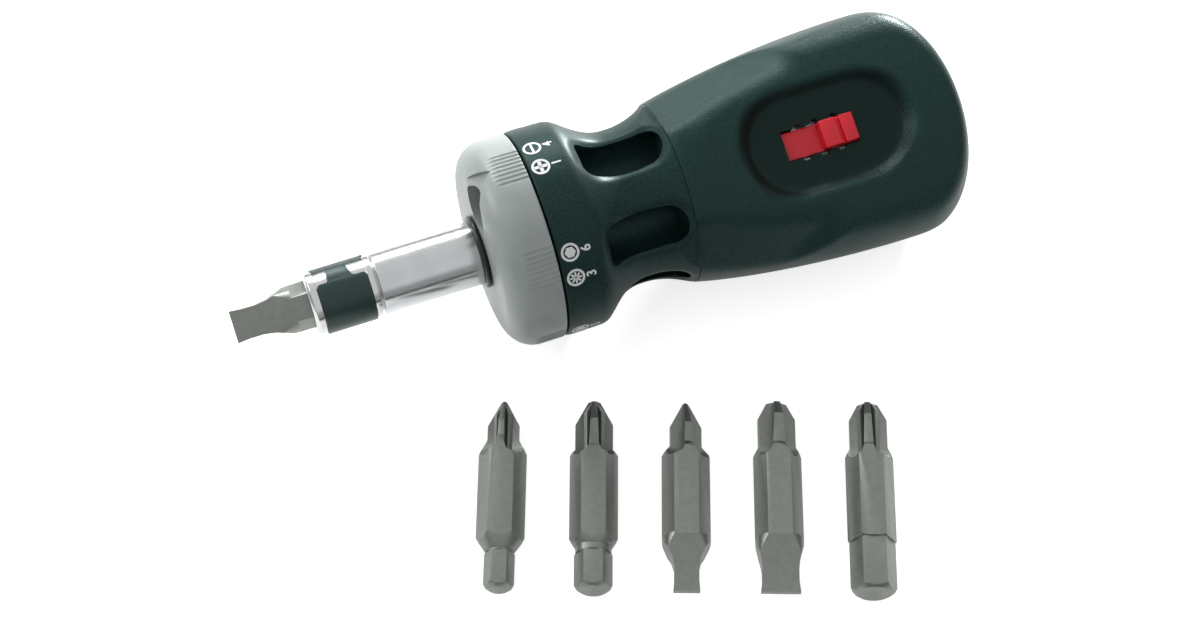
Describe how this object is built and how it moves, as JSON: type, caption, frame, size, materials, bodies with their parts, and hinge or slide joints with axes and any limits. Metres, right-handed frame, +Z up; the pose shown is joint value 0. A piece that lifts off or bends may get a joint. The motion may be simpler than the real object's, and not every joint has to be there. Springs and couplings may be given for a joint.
{
  "type": "ratcheting screwdriver",
  "caption": "Stubby ratcheting screwdriver with a bit magazine in its handle, a turning selector cap, a direction slider and double-ended hex bits.",
  "frame": {"origin": "middle of the hexagonal mouth of the bit holder, on the tool's axis", "axes": "+X runs along the tool's axis from the mouth to the butt; +Z is up as the tool lies on its side; the loose bits lie on the -Y side"},
  "size_m": [0.118, 0.0858, 0.0331],
  "materials": {
    "black_plastic": "fine-grained black handle plastic, slightly glossy",
    "grey_plastic": "satin light grey plastic",
    "red_plastic": "glossy red plastic",
    "ring_rubber": "black rubbery ring",
    "chrome": "bright polished chrome",
    "black_spring_steel": "blackened spring steel",
    "bit_steel": "dull blasted tool steel",
    "machined_steel": "machined steel",
    "bronze": "sintered bronze",
    "magnet": "nickel-plated magnet"
  },
  "bodies": {
    "handle": {"magazine": "black_plastic", "grip_upper_shell": "black_plastic", "grip_lower_shell": "black_plastic", "cap_retaining_ring": "ring_rubber", "front_bush": "bronze", "middle_bush": "bronze", "rear_bush": "bronze", "pawl_carrier": "machined_steel", "pawl_pins": "machined_steel", "pawl_springs": "machined_steel", "detent_spring": "machined_steel"},
    "cap": {"selector_cap": "grey_plastic"},
    "detent": {"detent_ball": "machined_steel"},
    "spindle": {"holder_head": "chrome", "bit_clip": "black_spring_steel", "chrome_sleeve": "chrome", "spindle": "machined_steel", "socket_magnet": "magnet", "ratchet_gear": "machined_steel", "spindle_circlip": "machined_steel"},
    "slider": {"direction_slider": "red_plastic", "shift_plate": "machined_steel"},
    "forward_pawl": {"forward_pawl": "machined_steel"},
    "reverse_pawl": {"reverse_pawl": "machined_steel"},
    "drive_bit": {"drive_bit": "bit_steel"},
    "bit_hex4": {"bit_hex4": "bit_steel"},
    "bit_hex5": {"bit_hex5": "bit_steel"},
    "bit_slot4": {"bit_slot4": "bit_steel"},
    "bit_slot6": {"bit_slot6": "bit_steel"},
    "bit_hex6": {"bit_hex6": "bit_steel"}
  },
  "joints": [
    {"name": "cap_turn", "type": "hinge", "parent": "handle", "child": "cap", "pos_m": [0.0275, 0, 0], "axis": [1, 0, 0], "continuous": true},
    {"name": "detent_press", "type": "slide", "parent": "handle", "child": "detent", "axis": [1, 0, 0], "range_m": [0, 0.0005], "stiffness_N_per_m": 300, "springref_m": -0.002},
    {"name": "spindle_turn", "type": "hinge", "parent": "handle", "child": "spindle", "pos_m": [0.03, 0, 0], "axis": [1, 0, 0], "continuous": true},
    {"name": "slider_shift", "type": "slide", "parent": "handle", "child": "slider", "axis": [-1, 0, 0], "range_m": [0, 0.0047]},
    {"name": "forward_pawl_lift", "type": "hinge", "parent": "handle", "child": "forward_pawl", "pos_m": [0.0733, -0.00727, -0.00222], "axis": [1, 0, 0], "range_deg": [0, 9.5]},
    {"name": "reverse_pawl_drop", "type": "hinge", "parent": "handle", "child": "reverse_pawl", "pos_m": [0.0733, 0.00665, 0.00368], "axis": [1, 0, 0], "range_deg": [0, 9.5]},
    {"name": "drive_bit_pull", "type": "slide", "parent": "spindle", "child": "drive_bit", "axis": [-1, 0, 0], "range_m": [0, 0.035]},
    {"name": "bit_hex4_lift", "type": "slide", "parent": "handle", "child": "bit_hex4", "axis": [0, 0, 1], "range_m": [0, 0.03]},
    {"name": "bit_hex5_lift", "type": "slide", "parent": "handle", "child": "bit_hex5", "axis": [0, 0, 1], "range_m": [0, 0.03]},
    {"name": "bit_slot4_lift", "type": "slide", "parent": "handle", "child": "bit_slot4", "axis": [0, 0, 1], "range_m": [0, 0.03]},
    {"name": "bit_slot6_lift", "type": "slide", "parent": "handle", "child": "bit_slot6", "axis": [0, 0, 1], "range_m": [0, 0.03]},
    {"name": "bit_hex6_lift", "type": "slide", "parent": "handle", "child": "bit_hex6", "axis": [0, 0, 1], "range_m": [0, 0.03]}
  ],
  "couplings": [
    {"joint": "forward_pawl_lift", "follows": "slider_shift", "rad_per_m": 29.6},
    {"joint": "reverse_pawl_drop", "follows": "slider_shift", "rad_per_m": 29.6}
  ]
}
